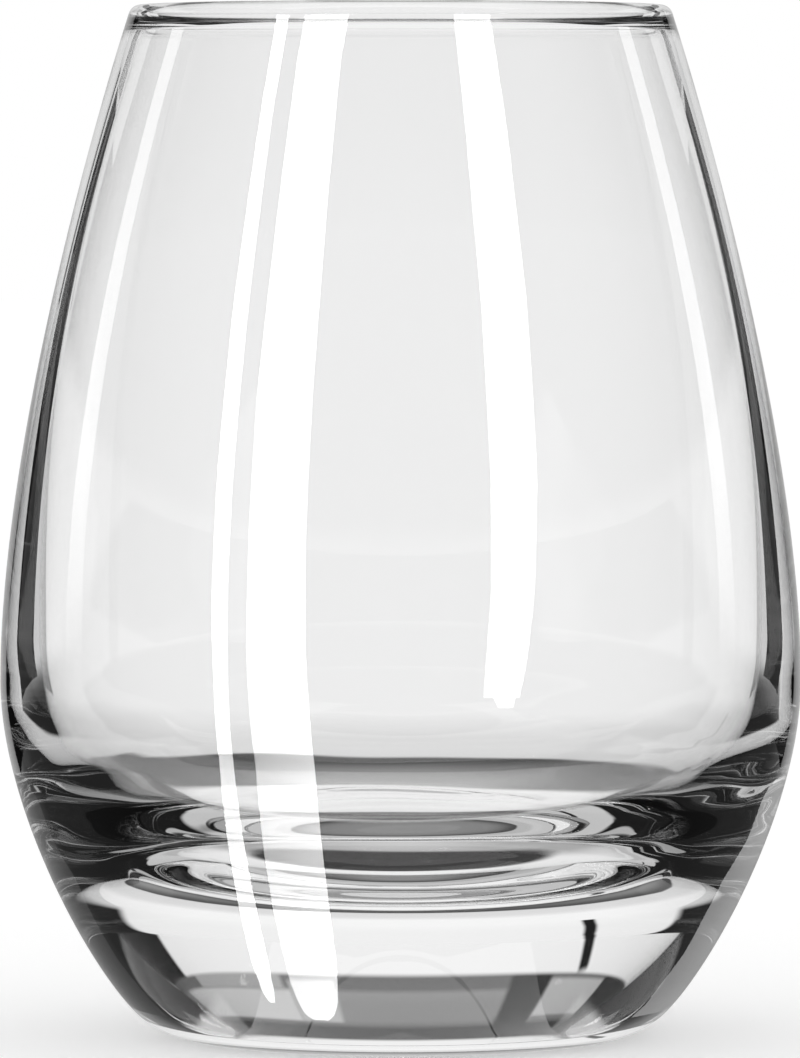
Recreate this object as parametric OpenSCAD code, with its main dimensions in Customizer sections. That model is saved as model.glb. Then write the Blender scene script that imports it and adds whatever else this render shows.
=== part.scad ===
// Stemless wine glass with a heavy solid base.
// One piece of pressed and blown glass, turned about the Z axis, millimetres.
// The origin is the centre of the bearing ring, on the plane that the glass stands on.

/* [Overall] */
// Height from the table to the top of the rim
glass_height = 92; // [84:1:110]
// Outer diameter at the widest part of the bowl
belly_diameter = 71.5; // [66:0.5:76]
// Height of the widest part above the table
belly_height = 31.8; // [28:0.2:36]

/* [Rim] */
// Outer diameter of the mouth
rim_diameter = 48.5; // [42:0.1:54]
// Wall thickness just below the rim
rim_wall = 1.5; // [1.1:0.05:1.9]
// Thickness of the rounded bead that the flame leaves along the rim
rim_bead_width = 2.1; // [1.6:0.05:2.6]
// How far below the bead the inner side takes to reach the wall's own thickness
rim_bead_fade = 1.6; // [1:0.1:3]
// How far the side leans inwards over the last stretch below the rim, in degrees
rim_lean = 18; // [10:0.2:22]

/* [Bowl] */
// Wall thickness at the widest part, between the outer belly and the cavity's own widest circle
belly_wall = 3.35; // [2:0.05:4.5]
// Height of the cavity's widest part above the table
cavity_belly_height = 36.1; // [33:0.1:42]
// Thickness of solid glass under the cavity, on the axis, down to the table plane
base_thickness = 15; // [12:0.1:20]

/* [Foot] */
// Outer diameter of the flat ring that the glass stands on
bearing_diameter = 36.6; // [30:0.1:40]
// Width of that ring
bearing_width = 1.6; // [1:0.1:3]
// Radius of the rounded heel between the ring and the side
heel_radius = 7.9; // [6:0.1:9]
// Slope of the side where it leaves the heel, in degrees from the table
heel_angle = 47; // [40:1:52]
// Height of the hollow under the base, on the axis
punt_height = 1.2; // [0.6:0.1:2.5]

/* [Hidden] */
// How far each curve runs along its end tangents before it bends
side_reach_at_rim = 10.8;
side_reach_above_belly = 19.85;
side_reach_below_belly = 10.65;
side_reach_at_heel = 6.6;
cavity_reach_at_rim = 14.6;
cavity_reach_above_belly = 22;
cavity_reach_below_belly = 11.5;
cavity_reach_on_floor = 30;

curve_steps = 40;
arc_steps = 14;
$fn = 180;

rim_radius = rim_diameter / 2;
belly_radius = belly_diameter / 2;
cavity_radius = belly_radius - belly_wall;
bearing_radius = bearing_diameter / 2;
punt_radius = bearing_radius - bearing_width;
rim_bead = rim_bead_width / 2;

// A point on the cubic curve a-b-c-d at share t
function cubic(a, b, c, d, t) =
    pow(1 - t, 3) * a + 3 * t * pow(1 - t, 2) * b + 3 * t * t * (1 - t) * c + pow(t, 3) * d;

// The curve a-b-c-d as points, without its first one
function curve(a, b, c, d) =
    [for (i = [1 : curve_steps]) cubic(a, b, c, d, i / curve_steps)];

// An arc about centre as points, from one angle to another, both ends included
function arc(centre, radius, from, to) =
    [for (i = [0 : arc_steps])
        let (angle = from + (to - from) * i / arc_steps)
        centre + radius * [cos(angle), sin(angle)]];

// Directions along the side and straight out of it, just below the rim
down_side = [sin(rim_lean), -cos(rim_lean)];
across_side = [cos(rim_lean), sin(rim_lean)];

// The fire-polished rim is a full round, tangent to the outer side and proud of the inner one
rim_centre = [rim_radius - rim_bead, glass_height - rim_bead];
rim_outer = rim_centre + rim_bead * across_side;
bead_inner = rim_centre - rim_bead * across_side;
rim_inner = rim_outer - rim_wall * across_side + rim_bead_fade * down_side;

belly = [belly_radius, belly_height];
cavity_belly = [cavity_radius, cavity_belly_height];
cavity_floor = [0, base_thickness];

heel_centre = [bearing_radius, heel_radius];
heel_top = heel_centre + heel_radius * [sin(heel_angle), -cos(heel_angle)];
up_heel = [cos(heel_angle), sin(heel_angle)];

// Round of the hollow underneath, a shallow dome over the punt circle
dome_radius = (pow(punt_radius, 2) + pow(punt_height, 2)) / (2 * punt_height);
dome_half_angle = asin(punt_radius / dome_radius);

// Half outline of the glass, from the punt's top out to the ring, up the side and down the cavity
outline = concat(
    arc([0, punt_height - dome_radius], dome_radius, 90, 90 - dome_half_angle),
    arc(heel_centre, heel_radius, -90, heel_angle - 90),
    curve(heel_top, heel_top + side_reach_at_heel * up_heel,
        belly - [0, side_reach_below_belly], belly),
    curve(belly, belly + [0, side_reach_above_belly],
        rim_outer + side_reach_at_rim * down_side, rim_outer),
    arc(rim_centre, rim_bead, rim_lean, rim_lean + 180),
    curve(bead_inner, bead_inner + rim_bead_fade / 2 * down_side,
        rim_inner - rim_bead_fade / 2 * down_side, rim_inner),
    curve(rim_inner, rim_inner + cavity_reach_at_rim * down_side,
        cavity_belly + [0, cavity_reach_above_belly], cavity_belly),
    curve(cavity_belly, cavity_belly - [0, cavity_reach_below_belly],
        cavity_floor + [cavity_reach_on_floor, 0], cavity_floor));

module glass_body() {
    color([0.93, 0.96, 0.96, 0.4])
        rotate_extrude() polygon(outline);
}

glass_body();
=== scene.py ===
import math

import bmesh
import bpy
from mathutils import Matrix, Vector, noise


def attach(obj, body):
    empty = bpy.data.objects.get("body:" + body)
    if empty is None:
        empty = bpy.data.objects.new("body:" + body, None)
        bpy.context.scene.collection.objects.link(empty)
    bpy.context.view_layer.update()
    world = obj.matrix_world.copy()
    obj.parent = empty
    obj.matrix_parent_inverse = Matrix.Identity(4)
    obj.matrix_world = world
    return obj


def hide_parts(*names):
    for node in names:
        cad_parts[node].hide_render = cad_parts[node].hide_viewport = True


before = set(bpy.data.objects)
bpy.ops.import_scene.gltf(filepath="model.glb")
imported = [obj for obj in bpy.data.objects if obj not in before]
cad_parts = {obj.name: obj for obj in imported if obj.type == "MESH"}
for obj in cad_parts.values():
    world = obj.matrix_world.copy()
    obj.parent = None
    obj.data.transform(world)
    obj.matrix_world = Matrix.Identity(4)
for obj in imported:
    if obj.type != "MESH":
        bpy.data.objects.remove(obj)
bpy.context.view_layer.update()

mm = 0.001

# The camera stands where the photograph was taken from. Azimuth 0 looks along +Y and 90 along -X.
view = {
    "azimuth": 225.0,
    "distance": 750.0,      # mm from the axis of the glass
    "height": 77.9,         # mm above the table
    "aim": 45.285,          # height on the axis that the middle of the picture shows
    "frameHeight": 94.492,  # mm that the picture covers at the axis
    "shiftX": -0.0006,
    "sensor": 36.0,
    "farthest": 100.0,      # m
}

# The half outline of the glass, in millimetres, as in the CAD source.
glass = {
    "height": 92.0,
    "bellyRadius": 35.75,
    "bellyHeight": 31.8,
    "rimRadius": 24.25,
    "rimWall": 1.5,
    "rimLean": 18.0,             # degrees
    "beadWidth": 2.1,            # the round that the flame leaves along the rim
    "beadFade": 1.6,
    "cavityRadius": 32.4,
    "cavityBellyHeight": 36.1,
    "baseThickness": 15.0,
    "bearingRadius": 18.3,
    "bearingWidth": 1.6,
    "heelRadius": 7.9,
    "heelAngle": 47.0,           # degrees
    "puntHeight": 1.2,
    "sideReach": (10.8, 19.85, 10.65, 6.6),    # rim, above belly, below belly, heel
    "cavityReach": (14.6, 22.0, 11.5, 30.0),   # rim, above belly, below belly, floor
    "curveSteps": 56,
    "arcSteps": 16,
    "turnSteps": 300,
    "mergeWithin": 0.001,
    # Pressing leaves the cavity's lower part faintly uneven, most along the line where the mould's halves
    # meet: mm deep, mm from one swell to the next round the glass, and mm up it
    "waves": ((0.15, 11.0, 8.0), (0.07, 12.0, 2.4)),
    "waveStart": (17.0, 24.0),   # radius where the swells begin and where they are full
    "waveFade": (25.0, 30.0),    # height where they are full and where they end
    "waveLine": 45.0,            # degrees from +X
    "waveCalm": 0.3,             # their share a quarter turn from that line
    "waveSeed": 7.0,
}


def cubic(a, b, c, d, steps):
    points = []
    for i in range(1, steps + 1):
        t = i / steps
        points.append((1 - t) ** 3 * a + 3 * t * (1 - t) ** 2 * b + 3 * t * t * (1 - t) * c + t ** 3 * d)
    return points


def arc(centre, radius, start, end, steps):
    points = []
    for i in range(steps + 1):
        angle = math.radians(start + (end - start) * i / steps)
        points.append(centre + radius * Vector((math.cos(angle), math.sin(angle))))
    return points


def halfOutline():
    lean = math.radians(glass["rimLean"])
    downSide = Vector((math.sin(lean), -math.cos(lean)))
    across = Vector((math.cos(lean), math.sin(lean)))
    bead = glass["beadWidth"] / 2
    halfFade = glass["beadFade"] / 2 * downSide
    rimCentre = Vector((glass["rimRadius"] - bead, glass["height"] - bead))
    rimOuter = rimCentre + bead * across
    beadInner = rimCentre - bead * across
    rimInner = rimOuter - glass["rimWall"] * across + 2 * halfFade
    belly = Vector((glass["bellyRadius"], glass["bellyHeight"]))
    cavityBelly = Vector((glass["cavityRadius"], glass["cavityBellyHeight"]))
    cavityFloor = Vector((0, glass["baseThickness"]))
    heelCentre = Vector((glass["bearingRadius"], glass["heelRadius"]))
    heel = math.radians(glass["heelAngle"])
    heelTop = heelCentre + glass["heelRadius"] * Vector((math.sin(heel), -math.cos(heel)))
    upHeel = Vector((math.cos(heel), math.sin(heel)))
    puntRadius = glass["bearingRadius"] - glass["bearingWidth"]
    dome = (puntRadius ** 2 + glass["puntHeight"] ** 2) / (2 * glass["puntHeight"])
    domeHalf = math.degrees(math.asin(puntRadius / dome))
    atRim, aboveBelly, belowBelly, atHeel = glass["sideReach"]
    innerAtRim, innerAbove, innerBelow, onFloor = glass["cavityReach"]
    steps = glass["curveSteps"]
    arcSteps = glass["arcSteps"]
    up = Vector((0, 1))
    out = Vector((1, 0))
    return (
        arc(Vector((0, glass["puntHeight"] - dome)), dome, 90, 90 - domeHalf, arcSteps)
        + arc(heelCentre, glass["heelRadius"], -90, glass["heelAngle"] - 90, arcSteps)
        + cubic(heelTop, heelTop + atHeel * upHeel, belly - belowBelly * up, belly, steps)
        + cubic(belly, belly + aboveBelly * up, rimOuter + atRim * downSide, rimOuter, steps)
        + arc(rimCentre, bead, glass["rimLean"], glass["rimLean"] + 180, arcSteps)[1:]
        + cubic(beadInner, beadInner + halfFade, rimInner - halfFade, rimInner, arcSteps)
        + cubic(rimInner, rimInner + innerAtRim * downSide, cavityBelly + innerAbove * up, cavityBelly, steps)
        + cubic(cavityBelly, cavityBelly - innerBelow * up, cavityFloor + onFloor * out, cavityFloor, steps)
    )


# Swells on the cavity's lower side; the outer side, the rim and the foot stay true.
def ripple(bm):
    low, high = glass["waveFade"]
    start, full = glass["waveStart"]
    slant = 0.02    # how far a normal may turn from a wall before it counts as facing up or out
    bm.normal_update()
    moves = []
    for vert in bm.verts:
        place = vert.co / mm
        outwards = Vector((place.x, place.y, 0))
        if place.z > high or outwards.length < start:
            continue
        if vert.normal.z <= slant or vert.normal.dot(outwards) >= slant:
            continue
        fade = min(1.0, (high - place.z) / (high - low))
        fade *= min(1.0, (outwards.length - start) / (full - start))
        near = math.cos(math.atan2(place.y, place.x) - math.radians(glass["waveLine"])) ** 2
        fade *= glass["waveCalm"] + (1 - glass["waveCalm"]) * near
        swell = sum(depth * noise.noise(Vector((place.x / around + glass["waveSeed"], place.y / around,
                                                (outwards.length + place.z) / along)))
                    for depth, around, along in glass["waves"])
        moves.append((vert, vert.normal * swell * fade * mm))
    for vert, move in moves:
        vert.co += move


def makeGlass(outline):
    bm = bmesh.new()
    verts = [bm.verts.new((point.x * mm, 0, point.y * mm)) for point in outline]
    edges = [bm.edges.new(pair) for pair in zip(verts, verts[1:])]
    bmesh.ops.spin(bm, geom=verts + edges, cent=(0, 0, 0), axis=(0, 0, 1), dvec=(0, 0, 0),
                   angle=math.tau, steps=glass["turnSteps"], use_merge=True, use_duplicate=False)
    bmesh.ops.remove_doubles(bm, verts=bm.verts, dist=glass["mergeWithin"] * mm)
    bmesh.ops.recalc_face_normals(bm, faces=bm.faces)
    ripple(bm)
    for face in bm.faces:
        face.smooth = True
    return finish("glass", bm)


# Turns a bmesh into an object of the scene.
def finish(name, bm):
    mesh = bpy.data.meshes.new(name)
    bm.to_mesh(mesh)
    bm.free()
    return addObject(name, mesh)


def addObject(name, data):
    made = bpy.data.objects.new(name, data)
    bpy.context.scene.collection.objects.link(made)
    return made


# Turns a point given as the camera sees it (right, away, up; mm from the glass's foot) into the shared frame.
def seen(right, away, up):
    turn = math.radians(view["azimuth"])
    return Vector((right * math.cos(turn) - away * math.sin(turn),
                   right * math.sin(turn) + away * math.cos(turn), up)) * mm


# Adds a node with its settings and links. Values without a name go to its inputs in order; a name in small
# letters is a setting, and any other is an input's, with _ for a space. A node means its first output.
def addNode(tree, kind, *values, **named):
    node = tree.nodes.new(kind)
    for name in [name for name in named if name[0].islower()]:
        setattr(node, name, named.pop(name))
    inputs = list(zip([socket for socket in node.inputs if socket.enabled], values))
    inputs += [(node.inputs[name.replace("_", " ")], value) for name, value in named.items()]
    for socket, value in inputs:
        if isinstance(value, bpy.types.Node):
            value = value.outputs[0]
        if isinstance(value, bpy.types.NodeSocket):
            tree.links.new(value, socket)
        else:
            socket.default_value = value
    return node


# 1 below the limit and 0 above it, with a soft step between.
def below(tree, value, limit, soft):
    return addNode(tree, "ShaderNodeMapRange", value, limit - soft, limit + soft, 1.0, 0.0,
                   interpolation_type="SMOOTHSTEP")


# 1 inside a field of two values and 0 outside it, with soft edges.
def within(tree, across, left, right, up, low, top, soft):
    share = 1.0
    for value, start, end in ((across, left, right), (up, low, top)):
        begun = addNode(tree, "ShaderNodeMath", 1.0, below(tree, value, start, soft), operation="SUBTRACT")
        share = addNode(tree, "ShaderNodeMath", share, begun, operation="MULTIPLY")
        share = addNode(tree, "ShaderNodeMath", share, below(tree, value, end, soft), operation="MULTIPLY")
    return share


# A level that runs in straight lines through (value, level) stops.
def profile(tree, value, stops):
    low = stops[0][0]
    high = stops[-1][0]
    ramp = addNode(tree, "ShaderNodeValToRGB", addNode(tree, "ShaderNodeMapRange", value, low, high))
    elements = ramp.color_ramp.elements
    while len(elements) < len(stops):
        elements.new(0.5)
    for element, (at, level) in zip(elements, stops):
        element.position = (at - low) / (high - low)
    for element, (at, level) in zip(elements, stops):
        element.color = (level, level, level, 1)
    return ramp


# As profile, for values of any size.
def line(tree, value, stops):
    low = min(at for key, at in stops)
    high = max(at for key, at in stops)
    shares = tuple((key, (at - low) / (high - low)) for key, at in stops)
    return addNode(tree, "ShaderNodeMath", profile(tree, value, shares), high - low, low,
                   operation="MULTIPLY_ADD")


def newMaterial(name):
    material = bpy.data.materials.new(name)
    material.use_nodes = True
    material.node_tree.nodes.clear()
    return material, material.node_tree


# A material that only glows, at a level or by an attribute of its mesh.
def glowing(name, level=None, attribute=None):
    material, tree = newMaterial(name)
    if attribute:
        level = addNode(tree, "ShaderNodeAttribute", attribute_name=attribute).outputs["Fac"]
    glow = addNode(tree, "ShaderNodeEmission", Strength=level)
    addNode(tree, "ShaderNodeOutputMaterial", Surface=glow)
    return material


# sRGB hex to linear
def fromHex(colour):
    channels = [int(colour[i:i + 2], 16) / 255 for i in (1, 3, 5)]
    linear = [share / 12.92 if share <= 0.04045 else ((share + 0.055) / 1.055) ** 2.4 for share in channels]
    return (*linear, 1.0)


# Clear soda-lime glass, pressed and fire-polished. The flame leaves it bright, with a faint orange-peel
# waviness, and handling leaves a film that dulls it in patches too thin to see straight on.
polish = {
    "colour": "#FFFFFF",
    "ior": 1.52,
    "peelSize": 6.0,            # mm from one swell to the next
    "peelDepth": 0.0004,        # mm
    "filmSize": 11.0,           # mm across a patch
    "filmEdge": (0.5, 0.8),     # noise where a patch starts and where it is dullest
    "film": 0.003,              # roughness there
}


def clearGlass():
    material, tree = newMaterial("clear soda-lime glass, fire-polished")
    place = addNode(tree, "ShaderNodeTexCoord").outputs["Object"]
    filmScale = 1 / (polish["filmSize"] * mm)
    film = addNode(tree, "ShaderNodeTexNoise", Vector=place, Scale=filmScale, Detail=3.0)
    start, end = polish["filmEdge"]
    dulled = addNode(tree, "ShaderNodeMapRange", film, start, end, 0.0, polish["film"])
    peelScale = 1 / (polish["peelSize"] * mm)
    peel = addNode(tree, "ShaderNodeTexNoise", Vector=place, Scale=peelScale, Detail=1.0)
    swell = addNode(tree, "ShaderNodeBump", Height=peel, Distance=polish["peelDepth"] * mm)
    surface = addNode(tree, "ShaderNodeBsdfPrincipled", Base_Color=fromHex(polish["colour"]),
                      IOR=polish["ior"], Roughness=dulled, Normal=swell, Transmission_Weight=1.0)
    addNode(tree, "ShaderNodeOutputMaterial", Surface=surface)
    return material


# What the glass bends into view: a white wall behind it, a grey ceiling with a few lit panels above the wall,
# and darkness to the sides. Degrees to the right and above the horizon count from straight behind the glass.
studio = {
    "diffuse": 0.8,
    "glossy": ((0, 0.65), (20, 0.6), (30, 0.2), (40, 0.08), (180, 0.08)),   # degrees to a side, level
    "dark": 0.012,
    "wallHalf": 58.0,      # degrees to each side
    "wallTop": 27.6,       # degrees up
    "wallRise": 0.0063,    # how much higher the wall's top is to the sides, per square degree
    "wallLevel": ((-2, 1), (4, 0.95), (28, 0.95)),                          # degrees up, level
    "wallEdge": 1.5,       # softness of its sides and of the fields below, degrees
    "topEdge": 0.5,
    # Dark wings of the wall: right from and to, up from and to
    "wings": ((39.5, 180, 8, 45), (-180, -38, 8, 27)),
    "wingEdge": 0.8,
    # A dark gap in the wall: up, right
    "seam": ((-7.5, -19.3), (-5.7, -20), (-1.2, -20.9), (4.3, -21.8), (11.8, -22.5), (20.6, -24.3),
             (27.4, -26.5), (32.2, -28.2)),
    "seamHalf": 0.9,
    "seamEdge": 0.4,
    "seamEnd": 1.0,
    # The ceiling: degrees up, level
    "gap": ((27, 0.15), (29.7, 0.16), (30.6, 0.3), (32.5, 0.27), (36.5, 0.25), (37.5, 0.2), (39, 0.06),
            (44, 0.05), (45.5, 0.9), (90, 1)),
    # Its panels: right from and to, up from and to, level
    "panels": ((16, 45, 30.2, 37.2, 0.6), (9, 16, 28.5, 37.2, 0.5), (17, 36, 27.6, 30.2, 0.42),
               (-36, -22.4, 28.4, 36.4, 0.5), (-22.4, -15.5, 27.6, 40, 0.045), (-60, -36, 27.6, 44, 0.04)),
    "panelEdge": 0.6,
    # Painted reflections, light and dark, that only rays mirrored inside the glass find: to each side from
    # and to, up from and to, level
    "mirrored": ((38, 200, -6, 1, 0.75), (38, 200, 1, 46, 0.012), (-1, 110, 48, 91, 0.6)),
    # A wall for each closing view from another side: azimuth, half width, up from and to, and its level in
    # mirrored rays, where it is painted darker or lighter
    "walls": ((0, 25.5, -14, 12, 0.05), (90, 25.5, -14, 12, 0.05), (45, 25.5, -45, -12, 0.4)),
}


# Rays that were mirrored this often inside the glass find the studio dimmer: painted shade in the glass's
# inner reflections
echo = {
    "times": 3,
    "share": 0.6,
}


# 1 for a ray that was mirrored at least this often, and 0 for any other.
def mirroredRay(tree, path, times):
    return addNode(tree, "ShaderNodeMath", path["Glossy Depth"], times - 0.5, operation="GREATER_THAN")


# Painted shade: dims what rays mirrored often inside the glass find
def dimmed(tree, path, level):
    share = addNode(tree, "ShaderNodeMix", mirroredRay(tree, path, echo["times"]), 1.0, echo["share"])
    return addNode(tree, "ShaderNodeMath", level, share, operation="MULTIPLY")


def makeWorld():
    world = bpy.data.worlds.new("studio")
    bpy.context.scene.world = world
    world.use_nodes = True
    tree = world.node_tree
    tree.nodes.clear()
    path = addNode(tree, "ShaderNodeLightPath").outputs
    direction = addNode(tree, "ShaderNodeTexCoord").outputs["Generated"]
    x, y, z = addNode(tree, "ShaderNodeSeparateXYZ", direction).outputs
    bearing = addNode(tree, "ShaderNodeMath", x, y, operation="ARCTAN2")
    bearing = addNode(tree, "ShaderNodeMath", bearing, operation="DEGREES")
    elevation = addNode(tree, "ShaderNodeMath", z, operation="ARCSINE")
    elevation = addNode(tree, "ShaderNodeMath", elevation, operation="DEGREES")

    # Degrees to the right of the way that a camera at this azimuth looks
    def rightOf(azimuth):
        turned = addNode(tree, "ShaderNodeMath", bearing, azimuth, operation="ADD")
        return addNode(tree, "ShaderNodeMath", turned, 180, -180, operation="WRAP")

    right = rightOf(view["azimuth"])
    aside = addNode(tree, "ShaderNodeMath", right, operation="ABSOLUTE")
    squared = addNode(tree, "ShaderNodeMath", right, right, operation="MULTIPLY")
    height = addNode(tree, "ShaderNodeMath", squared, -studio["wallRise"], elevation,
                     operation="MULTIPLY_ADD")

    ceiling = profile(tree, height, studio["gap"])
    for left, end, low, top, panelLevel in studio["panels"]:
        panel = within(tree, right, left, end, height, low, top, studio["panelEdge"])
        ceiling = addNode(tree, "ShaderNodeMix", panel, ceiling, panelLevel)

    wall = profile(tree, elevation, studio["wallLevel"])
    for left, end, low, top in studio["wings"]:
        wing = within(tree, right, left, end, elevation, low, top, studio["wingEdge"])
        wall = addNode(tree, "ShaderNodeMix", wing, wall, studio["dark"])
    underTop = below(tree, height, studio["wallTop"], studio["topEdge"])
    behind = addNode(tree, "ShaderNodeMix", underTop, ceiling, wall)

    seam = addNode(tree, "ShaderNodeMath", right, line(tree, elevation, studio["seam"]), operation="SUBTRACT")
    seam = addNode(tree, "ShaderNodeMath", seam, operation="ABSOLUTE")
    seam = below(tree, seam, studio["seamHalf"], studio["seamEdge"])
    underEnd = below(tree, elevation, studio["seam"][-1][0], studio["seamEnd"])
    seam = addNode(tree, "ShaderNodeMath", seam, underEnd, operation="MULTIPLY")
    behind = addNode(tree, "ShaderNodeMix", seam, behind, studio["dark"])
    facing = below(tree, aside, studio["wallHalf"], studio["wallEdge"])
    level = addNode(tree, "ShaderNodeMix", facing, studio["dark"], behind)

    # Painted reflections: fields and wall levels that only rays mirrored inside the glass find
    mirrored = mirroredRay(tree, path, 1)
    again = level
    for start, end, low, top, againLevel in studio["mirrored"]:
        field = within(tree, aside, start, end, elevation, low, top, studio["wallEdge"])
        again = addNode(tree, "ShaderNodeMix", field, again, againLevel)
    level = addNode(tree, "ShaderNodeMix", mirrored, level, again)
    for azimuth, half, low, top, wallAgain in studio["walls"]:
        field = within(tree, rightOf(azimuth), -half, half, elevation, low, top, studio["wallEdge"])
        wallLevel = addNode(tree, "ShaderNodeMix", mirrored, 1.0, wallAgain)
        wallLevel = addNode(tree, "ShaderNodeMath", field, wallLevel, operation="MULTIPLY")
        level = addNode(tree, "ShaderNodeMath", level, wallLevel, operation="MAXIMUM")

    glossy = profile(tree, aside, studio["glossy"])
    strength = addNode(tree, "ShaderNodeMix", path["Is Glossy Ray"], studio["diffuse"], glossy)
    through = dimmed(tree, path, level)
    strength = addNode(tree, "ShaderNodeMix", path["Is Transmission Ray"], strength, through)
    strength = addNode(tree, "ShaderNodeMix", path["Is Camera Ray"], strength, 1.0)
    background = addNode(tree, "ShaderNodeBackground", Color=(1, 1, 1, 1), Strength=strength)
    addNode(tree, "ShaderNodeOutputWorld", Surface=background)


# The floor is pale and even to the camera. Through the glass it shows a painted picture of what lies round a
# lit glass
# on a table: a painted soft shadow of the glass, a painted pool of light that its base lets through, and
# painted darkness before the pool.
floor = {
    "drop": 0.05,          # mm under the glass, so that no two surfaces meet
    "reach": 4000.0,       # mm
    "colour": "#E7E7E7",
    "lift": 0.38,          # glow that brings the unshadowed floor up to white
    # Painted shade along the view, darker near the glass, from before the glass to far behind it: mm away,
    # level
    "paintedShadeAlong": ((-26, 1), (-20, 0.6), (-17, 0.45), (-10, 0.45), (40, 0.7), (56, 0.78), (75, 0.8), (110, 1)),
    # Painted shade: in rays mirrored inside the glass it is dark before the glass and, near it, to the sides
    "before": -38.0,       # mm away
    "beforeEdge": 3.0,
    "aside": 72.0,         # mm to each side
    "asideShare": 0.8,     # farther off, the part of the way behind the glass
    "asideEdge": 2.0,
    "asideEnd": 110.0,     # mm away where the near level passes to the far one
    "asideEndEdge": 40.0,
    "dark": 0.01,
    "asideFar": 0.75,
    # Painted spots of light and shade, each over the ones before: middle (right, away), half width and depth,
    # edge, level
    "spots": (
        (-3, 20, 28, 31.5, 0.05, 0.09),       # painted shadow of the glass
        (0, 25, 13, 14, 0.7, 0.42),           # its painted lighter middle
        (-1, 3.5, 24.5, 17, 0.08, 0.9),       # painted pool of light that the base lets through
        (0, -10.5, 15, 6.2, 0.1, 0.05),       # painted darkness before it, inside the ring that the glass stands on
    ),
}


def floorMaterial():
    material, tree = newMaterial("pale studio table with painted shadow")
    path = addNode(tree, "ShaderNodeLightPath").outputs
    place = addNode(tree, "ShaderNodeTexCoord").outputs["Object"]
    x, y, z = addNode(tree, "ShaderNodeSeparateXYZ", place).outputs
    right = addNode(tree, "ShaderNodeMath", x, mm, operation="DIVIDE")
    away = addNode(tree, "ShaderNodeMath", y, mm, operation="DIVIDE")
    # Painted shade along the view, then painted spots of shadow and light, all only in the glow that rays
    # through the glass find
    level = profile(tree, away, floor["paintedShadeAlong"])

    # Painted shade that only rays mirrored inside the glass find on the floor
    mirrored = mirroredRay(tree, path, 1)
    edge = addNode(tree, "ShaderNodeMath", away, floor["asideShare"], operation="MULTIPLY")
    edge = addNode(tree, "ShaderNodeMath", edge, floor["aside"], operation="MAXIMUM")
    aside = addNode(tree, "ShaderNodeMath", right, operation="ABSOLUTE")
    aside = addNode(tree, "ShaderNodeMath", edge, aside, operation="SUBTRACT")
    aside = below(tree, aside, 0.0, floor["asideEdge"])
    aside = addNode(tree, "ShaderNodeMath", aside, mirrored, operation="MULTIPLY")
    near = below(tree, away, floor["asideEnd"], floor["asideEndEdge"])
    asideLevel = addNode(tree, "ShaderNodeMix", near, floor["asideFar"], floor["dark"])
    level = addNode(tree, "ShaderNodeMix", aside, level, asideLevel)
    before = below(tree, away, floor["before"], floor["beforeEdge"])
    before = addNode(tree, "ShaderNodeMath", before, mirrored, operation="MULTIPLY")
    level = addNode(tree, "ShaderNodeMix", before, level, floor["dark"])

    for middleX, middleY, halfX, halfY, soft, spotLevel in floor["spots"]:
        x = addNode(tree, "ShaderNodeMath", right, 1 / halfX, -middleX / halfX, operation="MULTIPLY_ADD")
        y = addNode(tree, "ShaderNodeMath", away, 1 / halfY, -middleY / halfY, operation="MULTIPLY_ADD")
        squares = addNode(tree, "ShaderNodeMath", x, x, operation="MULTIPLY")
        squares = addNode(tree, "ShaderNodeMath", y, y, squares, operation="MULTIPLY_ADD")
        spread = addNode(tree, "ShaderNodeMath", squares, operation="SQRT")
        level = addNode(tree, "ShaderNodeMix", below(tree, spread, 1.0, soft), level, spotLevel)

    through = addNode(tree, "ShaderNodeEmission", Strength=dimmed(tree, path, level))
    pale = addNode(tree, "ShaderNodeBsdfDiffuse", Color=fromHex(floor["colour"]))
    lift = addNode(tree, "ShaderNodeMath", path["Is Camera Ray"], floor["lift"], operation="MULTIPLY")
    glow = addNode(tree, "ShaderNodeEmission", Strength=lift)
    plain = addNode(tree, "ShaderNodeAddShader", pale, glow)
    shown = addNode(tree, "ShaderNodeMixShader", path["Is Transmission Ray"], plain, through)
    addNode(tree, "ShaderNodeOutputMaterial", Surface=shown)
    return material


def flatSheet(name, corners, material):
    bm = bmesh.new()
    bm.faces.new([bm.verts.new(corner) for corner in corners])
    made = finish(name, bm)
    made.data.materials.append(material)
    return made


# Hides a staged sheet from the kinds of ray that are named.
def stage(made, *hiddenFrom):
    for kind in hiddenFrom:
        setattr(made, "visible_" + kind, False)


def makeFloor():
    reach = floor["reach"] * mm
    corners = ((-reach, -reach, 0), (reach, -reach, 0), (reach, reach, 0), (-reach, reach, 0))
    made = flatSheet("floor", corners, floorMaterial())
    made.location.z = -floor["drop"] * mm
    made.rotation_euler.z = math.radians(view["azimuth"])
    stage(made, "glossy")


# Two black cards hang close behind the glass, one to each side, and draw its dark edges.
cards = {
    "away": 62.0,
    "foot": 11.0,          # mm above the table
    "height": 130.0,
    "level": 0.012,
    # mm from the middle: inner and outer edge at the foot, inner and outer edge at the top
    "leftCard": (-65.0, -95.0, -55.0, -60.0),
    "rightCard": (68.5, 96.0, 53.0, 60.0),
}


def makeCards():
    black = glowing("black card", cards["level"])
    away = cards["away"]
    for name in ("leftCard", "rightCard"):
        lowInner, lowOuter, highInner, highOuter = cards[name]
        corners = (seen(lowInner, away, cards["foot"]), seen(lowOuter, away, cards["foot"]),
                   seen(highOuter, away, cards["height"]), seen(highInner, away, cards["height"]))
        stage(flatSheet(name, corners, black), "camera", "diffuse", "shadow")


# A white card hangs behind the rim and over it, and keeps the rim bright where it bends the view upwards.
rimCard = {
    "away": 62.0,
    "low": 97.0,
    "high": 185.0,
    "near": -90.0,         # how far it comes forward over the glass, mm away
    "half": 95.0,
    "level": 0.92,
}


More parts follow.
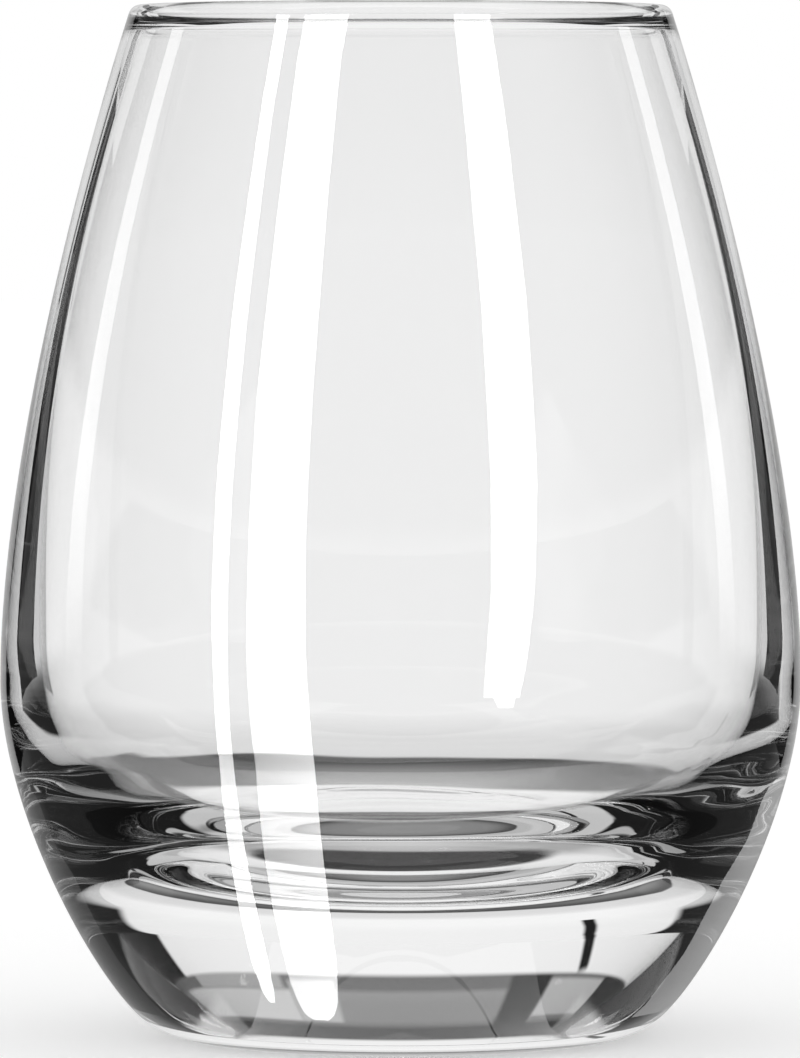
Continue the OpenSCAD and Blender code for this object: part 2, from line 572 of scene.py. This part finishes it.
def makeRimCard():
    white = glowing("white card", rimCard["level"])
    half = rimCard["half"]
    upright = (seen(-half, rimCard["away"], rimCard["low"]), seen(half, rimCard["away"], rimCard["low"]),
               seen(half, rimCard["away"], rimCard["high"]), seen(-half, rimCard["away"], rimCard["high"]))
    level = (seen(-half, rimCard["away"], rimCard["high"]), seen(half, rimCard["away"], rimCard["high"]),
             seen(half, rimCard["near"], rimCard["high"]), seen(-half, rimCard["near"], rimCard["high"]))
    for name, corners in (("rimCardBehind", upright), ("rimCardOver", level)):
        stage(flatSheet(name, corners, white), "camera", "diffuse", "glossy", "shadow")


# Glowing strips stand round the glass. They light nothing, and only the glass's outer reflection shows them:
# painted highlights, each mirrored to the camera as one long streak. Every stop gives a height on the glass
# and the degrees round it, left and right, that the streak fills there; level is the strip's at its left and
# right edge, and between the two heights of dim it gets darker.
highlightStrips = {
    "away": 400.0,         # mm from the glass
    "clear": 0.8,          # how far of the way to the table it may hang
    "steps": 160,
    "acrossSteps": 6,
    "strips": {
        "wideStrip": {"level": (9.0, 13.0), "dim": None, "stops": (
            (90.8, -19.7, -10.5), (87, -20.4, -11.6), (75, -21.2, -12.5), (58, -22.1, -13.3),
            (46, -22.0, -13.5), (35.5, -21.7, -13.1), (26.3, -20.6, -12.0), (14, -20.7, -11.3),
            (9.3, -20.4, -11.1), (7, -20.2, -11.4), (5.2, -19.6, -12.0), (4.2, -18.8, -13.0),
            (3.7, -17.6, -14.4))},
        "thinStrip": {"level": (13.0, 13.0), "dim": None, "stops": (
            (90.8, -26.0, -23.2), (82, -26.7, -24.2), (66, -27.5, -24.8), (51, -27.6, -25.0),
            (40.6, -27.3, -24.8), (32, -26.5, -24.3), (26, -26.1, -23.9), (13.4, -26.6, -23.5),
            (9.1, -26.8, -23.5), (6.2, -26.4, -24.0), (5.2, -25.6, -24.6))},
        "rightStrip": {"level": (11.0, 11.0), "dim": None, "stops": (
            (90.8, 10.8, 18.4), (82, 11.7, 19.5), (66, 12.8, 20.4), (51, 13.1, 20.1), (41, 12.6, 18.9),
            (35.6, 11.8, 17.6), (32.7, 11.4, 16.6), (31.6, 13.6, 15.5))},
        "farLeftStrip": {"level": (2.4, 2.4), "dim": (58, 33), "stops": (
            (89.6, -53.8, -49.9), (82, -54.9, -51.3), (71, -56.2, -52.4), (61, -56.5, -52.7),
            (50, -56.2, -52.3), (40, -55.2, -51.4), (33, -54.2, -50.4))},
        "farRightStrip": {"level": (2.4, 2.4), "dim": (58, 33), "stops": (
            (90, 50.1, 54.0), (82, 51.5, 55.2), (71, 52.5, 56.3), (61, 52.7, 56.6), (50, 52.3, 56.2),
            (40, 51.5, 55.2), (33, 50.4, 54.2))},
        "lowRightStrip": {"level": (1.3, 0.4), "dim": None, "stops": (
            (23.7, 75, 83), (23.2, 70.5, 83), (22, 68.5, 83), (18.5, 67.4, 83), (15.1, 63.4, 82),
            (11.5, 62.1, 82), (8.4, 61.5, 81), (5.8, 59, 80), (4, 58.2, 80), (2.9, 56, 78))},
        "lowLeftStrip": {"level": (0.4, 0.25), "dim": None, "stops": (
            (23.7, -83, -74), (22, -83, -69), (18.4, -83, -67.9), (15, -82, -64.3), (11.9, -82, -64.1),
            (7.9, -81, -62.8), (4.4, -80, -59.3), (2.9, -78, -57))},
    },
}


# The outer side of the glass at a height: its radius, and the way that it faces (out, up).
def outerSide(outline, height):
    for low, high in zip(outline, outline[1:]):
        if low.y < height <= high.y:
            share = (height - low.y) / (high.y - low.y)
            along = (high - low).normalized()
            return low.x + share * (high.x - low.x), along.y, -along.x
    raise ValueError("no side at this height")


# A streak's height, left and right end at this share of the way down it.
def streakAt(stops, share):
    height = stops[0][0] + share * (stops[-1][0] - stops[0][0])
    for upper, lower in zip(stops, stops[1:]):
        if lower[0] <= height <= upper[0]:
            part = (upper[0] - height) / (upper[0] - lower[0])
            return height, upper[1] + part * (lower[1] - upper[1]), upper[2] + part * (lower[2] - upper[2])
    return stops[0] if share < 0.5 else stops[-1]


# How bright a strip is at a height on the glass, at this share of the way across it.
def stripLevel(strip, height, part):
    left, right = strip["level"]
    level = left + part * (right - left)
    if strip["dim"]:
        dimTop, dimEnd = strip["dim"]
        level *= min(1.0, max(0.0, (height - dimEnd) / (dimTop - dimEnd)))
    return level


# Builds the glowing strips of the painted highlights, each placed where the outer side mirrors it along its
# streak
def makeStrips(outline):
    eye = Vector((0, -view["distance"], view["height"]))
    material = glowing("glowing strip for painted highlights", attribute="level")
    for name, strip in highlightStrips["strips"].items():
        bm = bmesh.new()
        shade = bm.verts.layers.float.new("level")
        bmesh.ops.create_grid(bm, x_segments=highlightStrips["acrossSteps"], y_segments=highlightStrips["steps"], size=0.5)
        for vert in bm.verts:
            part = vert.co.x + 0.5
            height, left, right = streakAt(strip["stops"], 0.5 - vert.co.y)
            radius, facingOut, facingUp = outerSide(outline, height)
            turn = math.radians(left + part * (right - left))
            point = Vector((radius * math.sin(turn), -radius * math.cos(turn), height))
            normal = Vector((facingOut * math.sin(turn), -facingOut * math.cos(turn), facingUp))
            way = (point - eye).normalized().reflect(normal)
            reach = highlightStrips["away"]
            if way.z < 0:
                reach = min(reach, highlightStrips["clear"] * height / -way.z)
            vert[shade] = stripLevel(strip, height, part)
            vert.co = seen(*(point + reach * way))
        made = finish(name, bm)
        made.data.materials.append(material)
        stage(made, "camera", "diffuse", "transmission", "shadow")


def makeCamera():
    data = bpy.data.cameras.new("camera")
    data.sensor_width = view["sensor"]
    drop = view["height"] - view["aim"]
    data.lens = view["sensor"] * math.hypot(view["distance"], drop) / view["frameHeight"]
    data.clip_end = view["farthest"]
    data.shift_x = view["shiftX"]
    camera = addObject("camera", data)
    camera.location = seen(0, -view["distance"], view["height"])
    tilt = math.pi / 2 - math.atan2(drop, view["distance"])
    camera.rotation_euler = (tilt, 0, math.radians(view["azimuth"]))
    bpy.context.scene.camera = camera


outline = halfOutline()
piece = makeGlass(outline)
piece.data.materials.append(clearGlass())
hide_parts("glass_body")
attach(piece, "root")
print("glass made")

makeWorld()
makeFloor()
makeCards()
makeRimCard()
makeStrips(outline)
print("studio made")

makeCamera()
bpy.context.scene.view_settings.view_transform = "Standard"
bounces = 32    # light runs up inside the wall by many mirrorings before it leaves the glass
bpy.context.scene.cycles.max_bounces = bounces
bpy.context.scene.cycles.glossy_bounces = bounces
bpy.context.scene.cycles.transmission_bounces = bounces
print("camera set")
